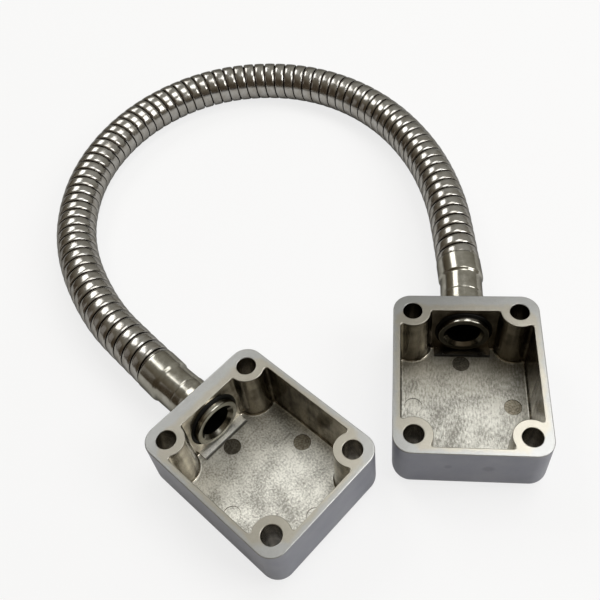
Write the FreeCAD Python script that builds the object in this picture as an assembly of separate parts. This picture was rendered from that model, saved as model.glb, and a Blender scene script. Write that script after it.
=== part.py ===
"""Armoured cable loop: a flexible stainless steel hose with an open die-cast box at each end.

The frame stands on the surface that the two boxes lie on. Its origin is the middle of box B's
four screw holes, +Y runs from box B into the hose, and +Z is up, towards the open rims.
Box A is the same casting, turned about Z and set beside box B. All sizes are in millimetres.
"""
import FreeCAD
import Part

import math
import os

V = FreeCAD.Vector

# Box casting
box_width = 40.0
box_length = 49.0
box_height = 19.0
side_wall = 2.0
far_wall = 2.0
inlet_wall = 5.2
floor_thickness = 1.5
corner_radius = 4.9
back_edge_radius = 4.5
rim_edge_radius = 0.3
cavity_draft_deg = 0.8
inlet_draft_deg = 3.0

# Screw holes, in from the box's sides and ends, and the bosses round them
hole_margin = 5.4
hole_diameter = 5.3
boss_diameter = 10.0
boss_draft_deg = 1.5
boss_blend_radius = 0.8
foot_flare = 0.8
foot_height = 0.6

# Step at the foot of the inlet wall
ledge_width = 16.0
ledge_depth = 2.8
ledge_height = 0.5

# Shallow round marks that the ejector pins leave on the floor
pin_mark_diameter = 4.9
pin_mark_depth = 0.15
pin_marks = [
    (-0.4, 12.9),
    (13.3, -1.0),
    (-14.2, -1.3),
    (0.0, -18.2),
]

# Inlet: the height of the hose's axis, and the recess that holds the sealing washer
axis_height = 9.7
recess_depth = 0.2
recess_clearance = 0.1
washer_diameter = 16.0
washer_thickness = 0.7
neck_clearance = 0.05

# Hose
hose_diameter = 13.0
hose_wall = 1.4

# Ferrule, as one swaged tube. Places along it are measured out from the box's inlet face.
collar_diameter = 14.4
collar_length = 1.7
collar_edge_radius = 0.35
collar_chamfer = 1.1
neck_diameter = 12.3
bore_diameter = 9.2
flange_diameter = 14.0
flange_length = 0.8
flare_diameter = 12.7
flare_length = 3.0
groove_place = 5.6
groove_width = 0.5
groove_depth = 0.15
crimp_place = 12.2
crimp_slope = 0.5
bend_from_crimp = 0.5
sleeve_length = 6.1
sleeve_edge_radius = 0.4
sleeve_overhang = 0.1
ferrule_a_lean_deg = -3.0
ferrule_b_lean_deg = 5.0

# Where box A lies, seen from box B
box_a_x = -53.8
box_a_y = -23.4
box_a_turn_deg = 51.33

# The hose's route between its two ends, picked by hand from the photographed loop.
# The third number is how far it has risen, from lying on the table (0) to the inlets' height (1).
hose_end_run = 10.0
hose_points = [
    (-106.8, 21.6, 0.90),
    (-117.8, 37.6, 0.60),
    (-125.0, 53.0, 0.22),
    (-128.4, 68.0, 0.0),
    (-128.5, 83.5, 0.0),
    (-125.0, 98.5, 0.0),
    (-118.0, 112.5, 0.0),
    (-107.7, 124.1, 0.0),
    (-94.8, 132.7, 0.0),
    (-80.0, 137.3, 0.0),
    (-64.1, 137.7, 0.0),
    (-49.1, 134.0, 0.0),
    (-35.5, 126.6, 0.0),
    (-24.0, 116.2, 0.0),
    (-15.2, 103.6, 0.16),
    (-8.1, 88.1, 0.53),
    (-3.2, 69.9, 0.88),
]
arc_share = 0.45

# What follows from the sizes above
inlet_face = box_length / 2
recess_floor = inlet_face - inlet_wall + recess_depth
collar_back = recess_floor - washer_thickness
collar_face = collar_back - collar_length
crimp_end = crimp_place + crimp_slope
bend_place = crimp_end + bend_from_crimp
recess_diameter = washer_diameter + 2 * recess_clearance
neck_hole_diameter = neck_diameter + 2 * neck_clearance
hose_bore_diameter = hose_diameter - 2 * hose_wall
sleeve_diameter = hose_diameter + 2 * sleeve_overhang


def drawn_in(depth, draft_deg):
    """How far a drafted face has moved in at a depth."""
    return depth * math.tan(math.radians(draft_deg))


def boss_centre(side_x, side_y):
    """Middle of the screw hole in one corner; each side is +1 or -1."""
    return V(side_x * (box_width / 2 - hole_margin), side_y * (box_length / 2 - hole_margin), 0)


def corner_bends(side_x, side_y, boss_r, wall_x, wall_y):
    """Three arcs round one boss: blend to the side wall, the boss, blend to the end wall.

    Each is given as its centre, its start and its end, from the side wall to the end wall.
    """
    boss = boss_centre(side_x, side_y)
    span = boss_r + boss_blend_radius
    side_x_mid = wall_x - side_x * boss_blend_radius
    end_y_mid = wall_y - side_y * boss_blend_radius
    side_reach = math.sqrt(span ** 2 - (side_x_mid - boss.x) ** 2)
    end_reach = math.sqrt(span ** 2 - (end_y_mid - boss.y) ** 2)
    side_mid = V(side_x_mid, boss.y - side_y * side_reach, 0)
    end_mid = V(boss.x - side_x * end_reach, end_y_mid, 0)
    on_side = boss + (side_mid - boss) * (boss_r / span)
    on_end = boss + (end_mid - boss) * (boss_r / span)
    return [
        (side_mid, V(wall_x, side_mid.y, 0), on_side),
        (boss, on_side, on_end),
        (end_mid, on_end, V(end_mid.x, wall_y, 0)),
    ]


def arc_between(centre, start, end):
    """The shorter arc about a centre from start to end."""
    middle = (start - centre) + (end - centre)
    middle.normalize()
    return Part.Arc(start, centre + middle * (start - centre).Length, end).toShape()


def cavity_outline(height, depth, spread):
    """Closed outline of the cavity at a height, for its depth under the rim.

    The walls lean in with the draft, the bosses grow with theirs, and spread adds to both.
    """
    boss_r = boss_diameter / 2 + drawn_in(depth, boss_draft_deg) + spread
    side = box_width / 2 - side_wall - drawn_in(depth, cavity_draft_deg) - spread
    far = -box_length / 2 + far_wall + drawn_in(depth, cavity_draft_deg) + spread
    near = inlet_face - inlet_wall - drawn_in(depth, inlet_draft_deg) - spread
    corners = []
    for side_x, side_y in ((1, 1), (-1, 1), (-1, -1), (1, -1)):
        end = near if side_y > 0 else far
        bends = corner_bends(side_x, side_y, boss_r, side_x * side, end)
        if side_x != side_y:
            bends = [(centre, finish, start) for centre, start, finish in reversed(bends)]
        corners.append(bends)
    edges = []
    for corner, following in zip(corners, corners[1:] + corners[:1]):
        edges += [arc_between(*bend) for bend in corner]
        edges.append(Part.LineSegment(corner[-1][2], following[0][1]).toShape())
    outline = Part.Wire(edges)
    outline.translate(V(0, 0, height))
    return outline


def make_cavity():
    """Space inside the box: drafted walls down to the foot, then a small flare to the floor."""
    foot_z = floor_thickness + foot_height
    foot_depth = box_height - foot_z
    rim = cavity_outline(box_height, 0.0, 0.0)
    foot = cavity_outline(foot_z, foot_depth, 0.0)
    floor = cavity_outline(floor_thickness, foot_depth, foot_flare)
    upper = Part.makeLoft([foot, rim], True, True)
    lower = Part.makeLoft([floor, foot], True, True)
    return upper.fuse(lower)


def make_shell():
    """Outside of the box: round corners, a well rounded back and a broken rim edge."""
    solid = Part.makeBox(box_width, box_length, box_height, V(-box_width / 2, -box_length / 2, 0))
    upright = [edge for edge in solid.Edges if edge.BoundBox.ZLength > box_height / 2]
    solid = solid.makeFillet(corner_radius, upright)
    back = [edge for edge in solid.Edges if edge.BoundBox.ZMax < box_height / 2]
    solid = solid.makeFillet(back_edge_radius, back)
    rim = [edge for edge in solid.Edges if edge.BoundBox.ZMin > box_height / 2]
    return solid.makeFillet(rim_edge_radius, rim)


def make_box():
    """Die-cast end box, open upwards, with four screw bosses, a ledge and the inlet's hole."""
    solid = make_shell().cut(make_cavity())
    pad_foot = inlet_face - inlet_wall - drawn_in(box_height - floor_thickness, inlet_draft_deg)
    ledge_base = floor_thickness / 2
    ledge = Part.makeBox(
        ledge_width,
        inlet_face - inlet_wall / 2 - pad_foot + ledge_depth,
        ledge_base + ledge_height,
        V(-ledge_width / 2, pad_foot - ledge_depth, ledge_base),
    )
    solid = solid.fuse(ledge)
    inward = V(0, -1, 0)
    recess_top = V(0, recess_floor, axis_height)
    recess = Part.makeCylinder(recess_diameter / 2, recess_floor - pad_foot, recess_top, inward)
    neck_hole = Part.makeCylinder(
        neck_hole_diameter / 2,
        inlet_wall + 2 * washer_thickness,
        V(0, inlet_face + washer_thickness, axis_height),
        inward,
    )
    solid = solid.cut(recess).cut(neck_hole)
    for side_x in (-1, 1):
        for side_y in (-1, 1):
            foot = boss_centre(side_x, side_y) - V(0, 0, floor_thickness)
            reach = box_height + 2 * floor_thickness
            solid = solid.cut(Part.makeCylinder(hole_diameter / 2, reach, foot))
    for x, y in pin_marks:
        base = V(x, y, floor_thickness - pin_mark_depth)
        solid = solid.cut(Part.makeCylinder(pin_mark_diameter / 2, 2 * pin_mark_depth, base))
    return solid.removeSplitter()


def make_washer():
    """Flat sealing washer, seated on the floor of the recess."""
    centre = V(0, recess_floor, axis_height)
    inward = V(0, -1, 0)
    ring = Part.makeCylinder(washer_diameter / 2, washer_thickness, centre, inward)
    hole = Part.makeCylinder(neck_hole_diameter / 2, washer_thickness, centre, inward)
    return ring.cut(hole)


def turned(profile, start, direction):
    """Ring turned about an axis, from the (distance along it, radius) corners of its section."""
    points = [V(radius, 0, distance) for distance, radius in profile]
    face = Part.Face(Part.makePolygon(points + [points[0]]))
    solid = face.revolve(V(0, 0, 0), V(0, 0, 1), 360)
    solid.Placement = FreeCAD.Placement(start, FreeCAD.Rotation(V(0, 0, 1), direction))
    return solid


def beyond(point, direction):
    """Block that holds everything of the ferrule past a plane."""
    size = 4 * box_length
    block = Part.makeBox(size, size, size, V(-size / 2, -size / 2, 0))
    block.Placement = FreeCAD.Placement(point, FreeCAD.Rotation(V(0, 0, 1), direction))
    return block


def lean_direction(lean_deg):
    """The inlet's direction, +Y, turned about Z."""
    lean = math.radians(lean_deg)
    return V(-math.sin(lean), math.cos(lean), 0)


def bend_point():
    """Point on the inlet's axis where the ferrule's sleeve begins to lean."""
    return V(0, inlet_face + bend_place, axis_height)


def make_ferrule(lean_deg):
    """Swaged end tube: collar inside the box, neck through its wall, flange, crimp and sleeve.

    The sleeve leans a little, so the tube is mitred where the lean begins.
    """
    neck_r = neck_diameter / 2
    collar_r = collar_diameter / 2
    flare_r = flare_diameter / 2
    flange_r = flange_diameter / 2
    sleeve_r = sleeve_diameter / 2
    socket_r = hose_bore_diameter / 2
    bore_r = bore_diameter / 2
    mouth = collar_face - inlet_face
    past = bend_place + sleeve_length
    straight_profile = [
        (mouth, bore_r + collar_chamfer),
        (mouth, collar_r - collar_edge_radius),
        (mouth + collar_edge_radius, collar_r),
        (collar_back - inlet_face, collar_r),
        (collar_back - inlet_face, neck_r),
        (0.0, neck_r),
        (0.0, flange_r),
        (flange_length, flange_r),
        (flange_length + (flare_length - flange_length) / 3, (flange_r + 2 * flare_r) / 3),
        (flare_length, flare_r),
        (groove_place, flare_r),
        (groove_place + groove_width / 2, neck_r - groove_depth),
        (groove_place + groove_width, neck_r),
        (crimp_place, neck_r),
        (crimp_end, sleeve_r),
        (past, sleeve_r),
        (past, socket_r),
        (crimp_place, socket_r),
        (crimp_place, bore_r),
        (mouth + collar_chamfer, bore_r),
    ]
    sleeve_profile = [
        (-sleeve_length, socket_r),
        (-sleeve_length, sleeve_r),
        (sleeve_length - sleeve_edge_radius, sleeve_r),
        (sleeve_length, sleeve_r - sleeve_edge_radius),
        (sleeve_length, socket_r),
    ]
    mitre = lean_direction(lean_deg / 2)
    straight = turned(straight_profile, V(0, inlet_face, axis_height), V(0, 1, 0))
    sleeve = turned(sleeve_profile, bend_point(), lean_direction(lean_deg))
    straight = straight.cut(beyond(bend_point(), mitre))
    sleeve = sleeve.cut(beyond(bend_point(), mitre * -1))
    return straight.fuse(sleeve)


def box_a_placement():
    """Where box A and its fittings go, from the box's own frame."""
    turn = FreeCAD.Rotation(V(0, 0, 1), box_a_turn_deg)
    return FreeCAD.Placement(V(box_a_x, box_a_y, 0), turn)


def hose_route():
    """Every point of the hose's route, from ferrule A's end to ferrule B's end."""
    place_a = box_a_placement()
    out_a = place_a.Rotation.multVec(lean_direction(ferrule_a_lean_deg))
    out_b = lean_direction(ferrule_b_lean_deg)
    start = place_a.multVec(bend_point()) + out_a * sleeve_length
    finish = bend_point() + out_b * sleeve_length
    lying = hose_diameter / 2
    middle = [V(x, y, lying + rise * (axis_height - lying)) for x, y, rise in hose_points]
    return [start, start + out_a * hose_end_run] + middle + [finish + out_b * hose_end_run, finish]


def hose_path(points):
    """Straight runs joined by tangent arcs, each arc as large as its two runs allow."""
    edges = []
    radii = []
    last = points[0]
    for before, corner, after in zip(points, points[1:], points[2:]):
        into = corner - before
        out = after - corner
        turn = into.getAngle(out)
        reach = arc_share * min(into.Length, out.Length)
        radius = reach / math.tan(turn / 2)
        into.normalize()
        out.normalize()
        inside = out - into
        inside.normalize()
        start = corner - into * reach
        end = corner + out * reach
        middle = corner + inside * (radius / math.cos(turn / 2) - radius)
        edges.append(Part.LineSegment(last, start).toShape())
        edges.append(Part.Arc(start, middle, end).toShape())
        radii.append(radius)
        last = end
    edges.append(Part.LineSegment(last, points[-1]).toShape())
    return Part.Wire(edges), radii


def make_hose():
    """Plain tube along the route, with the strip's turns left out."""
    points = hose_route()
    path, radii = hose_path(points)
    along = points[1] - points[0]
    outside = Part.Face(Part.Wire(Part.makeCircle(hose_diameter / 2, points[0], along)))
    inside = Part.Face(Part.Wire(Part.makeCircle(hose_bore_diameter / 2, points[0], along)))
    tube = path.makePipe(outside).cut(path.makePipe(inside))
    section = math.pi * (hose_diameter ** 2 - hose_bore_diameter ** 2) / 4
    print("cord radii, mm:", ", ".join(f"{radius:.1f}" for radius in radii))
    print(f"cord length {path.Length:.1f} mm, volume {tube.Volume:.0f} mm3")
    print(f"its section times its length: {section * path.Length:.0f} mm3")
    return tube


def placed(shape, placement):
    """A copy of a shape moved to its place."""
    copy = shape.copy()
    copy.Placement = placement.multiply(copy.Placement)
    return copy


def main():
    """Write each piece to its own file."""
    box = make_box()
    washer = make_washer()
    place_a = box_a_placement()
    nodes = {
        "hose": make_hose(),
        "box_a": placed(box, place_a),
        "box_b": box,
        "washer_a": placed(washer, place_a),
        "washer_b": washer,
        "ferrule_a": placed(make_ferrule(ferrule_a_lean_deg), place_a),
        "ferrule_b": make_ferrule(ferrule_b_lean_deg),
    }
    os.makedirs("parts", exist_ok=True)
    for name, shape in nodes.items():
        print(f"{name}: {len(shape.Solids)} solid, valid {shape.isValid()}, {shape.Volume:.0f} mm3")
        shape.Solids[0].exportStep(f"parts/{name}.step")


main()
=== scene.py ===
"""Armoured cable loop: a wound stainless steel hose between two open die-cast boxes.

Lengths are in millimetres and become metres where a mesh, a lamp or the camera is made. The frame
is the CAD model's: the table is z = 0, and box B's screw pattern is centred on the origin.
"""

import bpy
import math
import numpy as np
from mathutils import Matrix


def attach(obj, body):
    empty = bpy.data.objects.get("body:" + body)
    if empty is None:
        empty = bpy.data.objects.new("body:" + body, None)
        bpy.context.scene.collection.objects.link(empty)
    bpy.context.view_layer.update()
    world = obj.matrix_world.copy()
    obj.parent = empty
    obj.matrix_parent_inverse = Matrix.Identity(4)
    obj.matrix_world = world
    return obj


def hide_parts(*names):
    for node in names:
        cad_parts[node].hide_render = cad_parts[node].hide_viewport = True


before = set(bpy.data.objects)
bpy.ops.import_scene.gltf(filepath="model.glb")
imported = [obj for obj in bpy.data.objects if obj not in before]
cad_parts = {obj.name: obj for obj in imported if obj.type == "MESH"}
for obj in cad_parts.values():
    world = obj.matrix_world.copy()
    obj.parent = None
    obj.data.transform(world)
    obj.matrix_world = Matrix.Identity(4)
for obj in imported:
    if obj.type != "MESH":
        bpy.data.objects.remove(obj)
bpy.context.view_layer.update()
MM = 0.001
UP = np.array([0.0, 0.0, 1.0])

# End boxes, as cast
BOX_WIDTH = 40.0
BOX_LENGTH = 49.0
BOX_HEIGHT = 19.0
INLET_FACE = BOX_LENGTH / 2
SIDE_WALL = 2.0
FAR_WALL = 2.0
INLET_WALL = 5.2
FLOOR = 1.5
CORNER_RADIUS = 4.9
BACK_EDGE_RADIUS = 4.5
RIM_EDGE_RADIUS = 0.3
INNER_EDGE = 0.22
CAVITY_DRAFT = math.tan(math.radians(0.8))
INLET_DRAFT = math.tan(math.radians(3.0))
BOSS_DRAFT = math.tan(math.radians(1.5))
HOLE_MARGIN = 5.4
HOLE_X = BOX_WIDTH / 2 - HOLE_MARGIN
HOLE_Y = BOX_LENGTH / 2 - HOLE_MARGIN
HOLE_RADIUS = 2.65
BOSS_RADIUS = 5.0
BOSS_BLEND = 0.8
FOOT_FLARE = 0.8
FOOT_HEIGHT = 0.6
# Where the leaning inlet wall meets the floor, and the ledge before it
WALL_FOOT = INLET_FACE - INLET_WALL - (BOX_HEIGHT - FLOOR) * INLET_DRAFT
LEDGE_WIDTH = 16.0
LEDGE_DEPTH = 2.8
LEDGE_HEIGHT = 0.5
LEDGE_FRONT = WALL_FOOT - LEDGE_DEPTH
# Ejector pin marks, of which the first two have oily faces: x and y
PIN_MARKS = ((-0.4, 12.9), (13.3, -1.0), (-14.2, -1.3), (0.0, -18.2))
PIN_MARK_RADIUS = 2.45
PIN_MARK_DEPTH = 0.15
# The four corners, anticlockwise from +X +Y
CORNERS = ((1, 1), (-1, 1), (-1, -1), (1, -1))
# Finishes of a box, in the order of its materials
PAINT, WALL, FLOOR_FACE, RIM, PIN_FACE, LEDGE_EDGE = range(6)
# Where the paint gives way to bare metal on the rim: half width, far end, inlet end, and corner sum
BARE_SIDE = 19.4
BARE_FAR = 23.7
BARE_INLET = 21.5
BARE_CORNER = 36.8
# Distance across a corner, from the sum of the distances along its two sides
DIAGONAL = 0.7
# Faint round stains on the paint of box B's far wall: x, z, half width and half height
WALL_STAINS = ((-5.9, 12.0, 1.0, 1.0), (4.2, 11.5, 1.6, 1.4))

# Inlet and washer
AXIS_HEIGHT = 9.7
RECESS_WALL = 5.0
RECESS_FLOOR = INLET_FACE - RECESS_WALL
RECESS_RADIUS = 8.1
NECK_HOLE_RADIUS = 6.2
WASHER_RADIUS = 8.0
WASHER_THICKNESS = 0.7

# Ferrule. Places along it are measured out from the inlet face.
COLLAR_FACE = -7.4
COLLAR_BACK = -5.7
COLLAR_RADIUS = 7.2
MOUTH_RADIUS = 4.6
NECK_RADIUS = 6.15
FLANGE_RADIUS = 7.0
SLEEVE_START = 12.2
SLEEVE_RADIUS = 6.6
FERRULE_END = 19.3
AXIS_START = -12.0
BEND_PLACE = 13.2
BEND_REACH = 0.8
LEAN_A = math.radians(-3.0)
LEAN_B = math.radians(5.0)
# The crimping jaws reach only the outside, past this radius
OUTSIDE = 5.5
RING_SIDES = 96

# Box A's place
BOX_A_X = -53.8
BOX_A_Y = -23.4
BOX_A_TURN = math.radians(51.33)

# Hose
HOSE_RADIUS = 6.5
HOSE_BORE_RADIUS = 5.1
END_RUN = 10.0
TURNS = 78
# Groove between turns: its width where the hose is straight, what it gains where a bend doubles
# the pitch, and its least and greatest widths
GROOVE_WIDTH = 0.32
GROOVE_GAIN = 2.0
GROOVE_LEAST = 0.2
GROOVE_MOST = 0.8
GROOVE_DEPTH = 0.75
CROWN = 0.09
EDGE_ROLL = 0.4
# The turns next to ferrule A are slack, by a share of the pitch, and every turn wavers a little
SLACK = 0.012
SLACK_TURNS = 12
PITCH_WAVER = 0.012
HEIGHT_WAVER = 0.012
SLOW_WAVER = 0.008
# Steps of the meshes: points along a fine line, steps in a turn, and the bore's rings and sides
FINE_STEPS = 1600
STRIP_STEPS = 64
BORE_RINGS = 120
BORE_SIDES = 24
# The route's points between the ferrules: x, y, and the rise from the table (0) to the inlets (1)
ROUTE = np.array([
    (-106.8, 21.6, 0.90),
    (-117.8, 37.6, 0.60),
    (-125.0, 53.0, 0.22),
    (-128.4, 68.0, 0.0),
    (-128.5, 83.5, 0.0),
    (-125.0, 98.5, 0.0),
    (-118.0, 112.5, 0.0),
    (-107.7, 124.1, 0.0),
    (-94.8, 132.7, 0.0),
    (-80.0, 137.3, 0.0),
    (-64.1, 137.7, 0.0),
    (-49.1, 134.0, 0.0),
    (-35.5, 126.6, 0.0),
    (-24.0, 116.2, 0.0),
    (-15.2, 103.6, 0.16),
    (-8.1, 88.1, 0.53),
    (-3.2, 69.9, 0.88),
])

# Camera, solved from the photograph's two boxes
CAMERA_PLACE = np.array([-19.81, -113.48, 201.47])
CAMERA_HEADING = math.radians(11.149)
CAMERA_DIP = math.radians(52.797)
CAMERA_ROLL = math.radians(-8.379)
FOCAL_LENGTH = 799.459 * 36 / 600

# Light: lamps stand round the loop's middle, and the room is brightest towards one side
LOOP_MIDDLE = np.array([-60.0, 60.0, 0.0])
LAMP_DISTANCE = 1000.0
BRIGHT_SIDE = (0.37, 0.53, 0.765)
# Paper: half its side, its depth under the table plane, and how far it is lifted towards white for
# the camera and for metal that mirrors it
PAPER_REACH = 1500.0
PAPER_DROP = 0.02
PAPER_SEEN = 0.78
PAPER_MIRRORED = 0.18


# Meshes

def new_object(name, points, faces):
    """Smooth mesh object from points in mm and a list or array of faces."""
    mesh = bpy.data.meshes.new(name)
    mesh.from_pydata((np.asarray(points) * MM).tolist(), [], [list(face) for face in faces])
    mesh.shade_smooth()
    piece = bpy.data.objects.new(name, mesh)
    bpy.context.scene.collection.objects.link(piece)
    return piece


def make_piece(name, points, faces, material, places):
    """Mesh object with its material and its places, riding on the part."""
    piece = new_object(name, points, faces)
    keep_places(piece.data, places)
    piece.data.materials.append(material)
    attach(piece, "root")
    return piece


def keep_places(mesh, places):
    """Stores the place of each point on its own piece, in mm, which the patterns follow."""
    layer = mesh.attributes.new("place_mm", "FLOAT_VECTOR", "POINT")
    layer.data.foreach_set("vector", np.asarray(places, np.float32).ravel())


def rows_of(items, key):
    """A vector property of a mesh's points or faces, as an array of rows."""
    flat = np.empty(len(items) * 3)
    items.foreach_get(key, flat)
    return flat.reshape(-1, 3)


def grid_faces(rows, columns, closed_rows=False, closed_columns=False):
    """Quads of a grid of points: corner (i, j) is joined to (i, j+1), (i+1, j+1) and (i+1, j)."""
    i = np.arange(rows if closed_rows else rows - 1)[:, None]
    j = np.arange(columns if closed_columns else columns - 1)[None, :]
    i_next = (i + 1) % rows
    j_next = (j + 1) % columns
    corners = [i * columns + j, i * columns + j_next, i_next * columns + j_next, i_next * columns + j]
    return np.stack(np.broadcast_arrays(*corners), axis=-1).reshape(-1, 4)


def circle(angle):
    """Unit vectors at angles in the plane: (cos a, sin a)."""
    return np.stack([np.cos(angle), np.sin(angle)], axis=1)


def quarter_round(radius, steps):
    """Quarter circle of an edge, in even steps of its angle a from zero to a right angle.

    Returns radius * (1 - sin a), which falls to zero, and radius * (1 - cos a), which grows from it.
    """
    angle = np.linspace(0, math.pi / 2, steps)
    return radius * (1 - np.sin(angle)), radius * (1 - np.cos(angle))


def rounded_section(corners, steps=5):
    """Section line through corners (along, across, rounding), each turned into a tangent arc.

    The arc leaves its corner's sides at rounding times the tangent of half the turn, and runs in
    even steps of angle between them.
    """
    corners = np.array(corners, float)
    places = corners[:, :2]
    line = [places[:1]]
    for before, corner, after in zip(places[:-2], corners[1:-1], places[2:]):
        into = (corner[:2] - before) / np.linalg.norm(corner[:2] - before)
        out = (after - corner[:2]) / np.linalg.norm(after - corner[:2])
        turn = math.acos(np.clip(into @ out, -1, 1))
        if corner[2] <= 0 or turn < 0.01:
            line.append(corner[None, :2])
            continue
        inside = (out - into) / np.linalg.norm(out - into)
        centre = corner[:2] + inside * corner[2] / math.cos(turn / 2)
        angle = np.linspace(-turn / 2, turn / 2, steps)[:, None]
        across = (into + out) / np.linalg.norm(into + out)
        line.append(centre + corner[2] * (across * np.sin(angle) - inside * np.cos(angle)))
    line.append(places[-1:])
    return np.concatenate(line)


def put(points, which):
    """Points of the box's own frame, moved to box A. Box B lies in the frame itself."""
    turn, x, y = (BOX_A_TURN, BOX_A_X, BOX_A_Y) if which == "a" else (0.0, 0.0, 0.0)
    c, s = math.cos(turn), math.sin(turn)
    return points @ np.array([(c, -s, 0), (s, c, 0), (0, 0, 1)]).T + (x, y, 0.0)


def apply_modifiers(piece):
    """Replaces the piece's mesh by what its modifiers make of it."""
    graph = bpy.context.evaluated_depsgraph_get()
    mesh = bpy.data.meshes.new_from_object(piece.evaluated_get(graph), depsgraph=graph)
    piece.modifiers.clear()
    piece.data = mesh


def finish_normals(piece, sharp_deg):
    """Sharp edges past an angle, and normals weighted by face area, so that flat faces look flat."""
    piece.data.set_sharp_from_angle(angle=math.radians(sharp_deg))
    weight = piece.modifiers.new("area_weighted", "WEIGHTED_NORMAL")
    weight.keep_sharp = True
    apply_modifiers(piece)


# Ferrules and washers

def bent_axis(along, lean):
    """Point and direction of the ferrule's axis at distances out from the inlet face.

    The direction turns from +Y to the lean within BEND_REACH on each side of the bend, so the axis
    is straight, then a short curve, then straight again.
    """
    fine = np.linspace(AXIS_START, FERRULE_END + 2, FINE_STEPS)
    share = np.clip((fine - BEND_PLACE + BEND_REACH) / (2 * BEND_REACH), 0, 1)
    angle = lean * share * share * (3 - 2 * share)
    step = fine[1] - fine[0]
    x = np.concatenate([[0], np.cumsum(-np.sin(angle[:-1]) * step)])
    y = np.concatenate([[0], np.cumsum(np.cos(angle[:-1]) * step)]) + fine[0] + INLET_FACE
    turn = np.interp(along, fine, angle)
    point = np.stack([np.interp(along, fine, x), np.interp(along, fine, y),
                      np.full_like(along, AXIS_HEIGHT)], axis=1)
    direction = np.stack([-np.sin(turn), np.cos(turn), np.zeros_like(turn)], axis=1)
    return point, direction


def crimp_dents(along, angle):
    """How deep the crimping jaws have pressed: shallow flats round the sleeve near its step.

    Six narrow dents of 0.04 mm stand just before the step and three soft ones of 0.02 mm round the
    sleeve's middle. Both fade along the axis in bell curves.
    """
    band = np.exp(-((along - 11.9) / 0.8) ** 2)
    jaws = 0.5 + 0.5 * np.cos(6 * angle + 0.7)
    soft = np.exp(-((along - 16.0) / 3.0) ** 2) * (0.5 + 0.5 * np.cos(3 * angle + 1.9))
    return 0.04 * band * jaws ** 2 + 0.02 * soft


def ring_of(section, lean, dents=None):
    """Closed ring: the section (along, radius) carried round the bent axis in equal steps of angle.

    Each point is axis(along) + radius * (cos a * side + sin a * up), less any dents. Returns the
    points in the box's frame, the faces, and each point's (angle in mm, along, radius).
    """
    along = section[:, 0][:, None]
    angle = np.linspace(0, 2 * math.pi, RING_SIDES, endpoint=False)[None, :]
    centre, direction = bent_axis(section[:, 0], lean)
    side = np.cross(direction, UP)
    radius = np.broadcast_to(section[:, 1][:, None], (len(section), RING_SIDES)).copy()
    if dents is not None:
        radius = radius - dents(along, angle) * (radius > OUTSIDE)
    points = (centre[:, None, :] + (radius * np.cos(angle))[..., None] * side[:, None, :]
              + (radius * np.sin(angle))[..., None] * UP)
    places = np.stack([np.broadcast_to(angle * HOSE_RADIUS, radius.shape),
                       np.broadcast_to(along, radius.shape), radius], axis=-1)
    faces = grid_faces(len(section), RING_SIDES, closed_rows=True, closed_columns=True)
    return points.reshape(-1, 3), faces[:, ::-1], places.reshape(-1, 3)


def ferrule_section():
    """Half section of the swaged end tube, from the collar's mouth out to the sleeve and back.

    It is cut into steps of about half a millimetre, for the dents and the bend.
    """
    mouth = (COLLAR_FACE + 1.1, MOUTH_RADIUS, 0)
    line = rounded_section([
        # Collar in the box, with a chamfered mouth
        mouth,
        (COLLAR_FACE, 5.7, 0.12),
        (COLLAR_FACE, COLLAR_RADIUS, 0.35),
        (COLLAR_BACK, COLLAR_RADIUS, 0.15),
        # Neck through the wall, and flange against it
        (COLLAR_BACK, NECK_RADIUS, 0),
        (0.0, NECK_RADIUS, 0),
        (0.0, FLANGE_RADIUS, 0.12),
        (0.8, FLANGE_RADIUS, 0.35),
        (1.5, 6.5, 0.8),
        # Waist, with a turned groove
        (3.0, 6.35, 2.0),
        (5.6, 6.32, 0.2),
        (5.85, 6.02, 0.15),
        (6.15, 6.16, 0.2),
        # Sleeve round the hose's end
        (SLEEVE_START, NECK_RADIUS, 1.2),
        (SLEEVE_START + 0.55, SLEEVE_RADIUS, 0.8),
        (FERRULE_END, SLEEVE_RADIUS, 0.45),
        # Bore
        (FERRULE_END, HOSE_BORE_RADIUS, 0),
        (SLEEVE_START, HOSE_BORE_RADIUS, 0),
        (SLEEVE_START, MOUTH_RADIUS, 0),
        mouth,
    ], 6)[:-1]
    steps = [line[:1]]
    for start, end in zip(line[:-1], line[1:]):
        count = max(1, int(np.linalg.norm(end - start) / 0.5))
        share = np.arange(1, count + 1)[:, None] / count
        steps.append(start + (end - start) * share)
    return np.concatenate(steps)


def make_ferrule(which, lean, material):
    """Swaged ferrule with its collar in the box and its sleeve round the hose's end."""
    points, faces, places = ring_of(ferrule_section(), lean, crimp_dents)
    piece = make_piece(f"swaged_ferrule_{which}", put(points, which), faces, material,
                       places)
    finish_normals(piece, 40)
    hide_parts(f"ferrule_{which}")


def make_washer(which, material):
    """Flat ring with softly rounded edges, squeezed between the collar and the recess."""
    back = RECESS_FLOOR - INLET_FACE
    front = RECESS_FLOOR - WASHER_THICKNESS - INLET_FACE
    section = rounded_section([
        ((front + back) / 2, NECK_HOLE_RADIUS, 0),
        (front, NECK_HOLE_RADIUS, 0.1),
        (front, WASHER_RADIUS, 0.25),
        (back, WASHER_RADIUS, 0.15),
        (back, NECK_HOLE_RADIUS, 0.1),
        ((front + back) / 2, NECK_HOLE_RADIUS, 0),
    ])[:-1]
    points, faces, places = ring_of(section, 0.0)
    piece = make_piece(f"sealing_washer_{which}", put(points, which), faces, material,
                       places)
    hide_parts(f"washer_{which}")


# End boxes

def outer_outline(inset):
    """Rounded rectangle of the box, drawn in by inset: four corner arcs joined by straight sides."""
    radius = CORNER_RADIUS - inset
    half = np.array([BOX_WIDTH / 2 - inset - radius, BOX_LENGTH / 2 - inset - radius])
    sweep = np.linspace(0, math.pi / 2, 17)
    return np.concatenate([half * signs + radius * circle(sweep + number * math.pi / 2)
                           for number, signs in enumerate(CORNERS)])


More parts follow.
